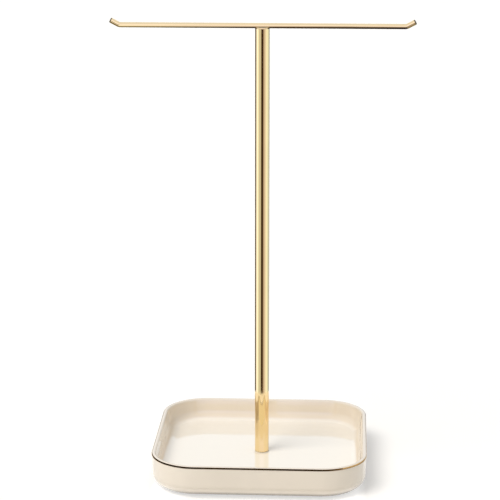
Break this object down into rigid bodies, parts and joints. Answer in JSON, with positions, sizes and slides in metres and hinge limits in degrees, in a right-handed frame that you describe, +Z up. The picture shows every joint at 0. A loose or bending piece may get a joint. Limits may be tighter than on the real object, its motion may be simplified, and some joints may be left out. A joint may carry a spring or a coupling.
{
  "type": "jewellery stand with tray",
  "caption": "T-shaped hanging bar with upturned tips on a round post, screwed from below through a shallow rounded-square glazed tray with a gilded rim.",
  "frame": {"origin": "on the table under the middle of the post, which is the middle of the tray", "axes": "+Z up along the post, +X to the right along the hanging bar, +Y to the back"},
  "size_m": [0.21, 0.15, 0.3207],
  "materials": {
    "glazed_ceramic": "cream-white gloss glaze over fired stoneware",
    "gold_lustre": "fired gold lustre, polished",
    "gold_plated_steel": "polished, gold plated",
    "zinc_plated_steel": "bright zinc plate",
    "clear_vinyl": "soft frosted clear vinyl",
    "black_rubber": "matt moulded rubber",
    "silicone_pad": "soft frosted silicone"
  },
  "bodies": {
    "root": {"tray": "glazed_ceramic", "rim_gilding": "gold_lustre", "post_tube": "gold_plated_steel", "post_head_plug": "gold_plated_steel", "hanging_bar": "gold_plated_steel", "post_foot_insert": "zinc_plated_steel", "post_gasket": "clear_vinyl", "cushion_washer": "black_rubber", "steel_washer": "zinc_plated_steel", "clamp_screw": "zinc_plated_steel", "foot_pad_front_right": "silicone_pad", "foot_pad_back_right": "silicone_pad", "foot_pad_back_left": "silicone_pad", "foot_pad_front_left": "silicone_pad"}
  },
  "joints": []
}
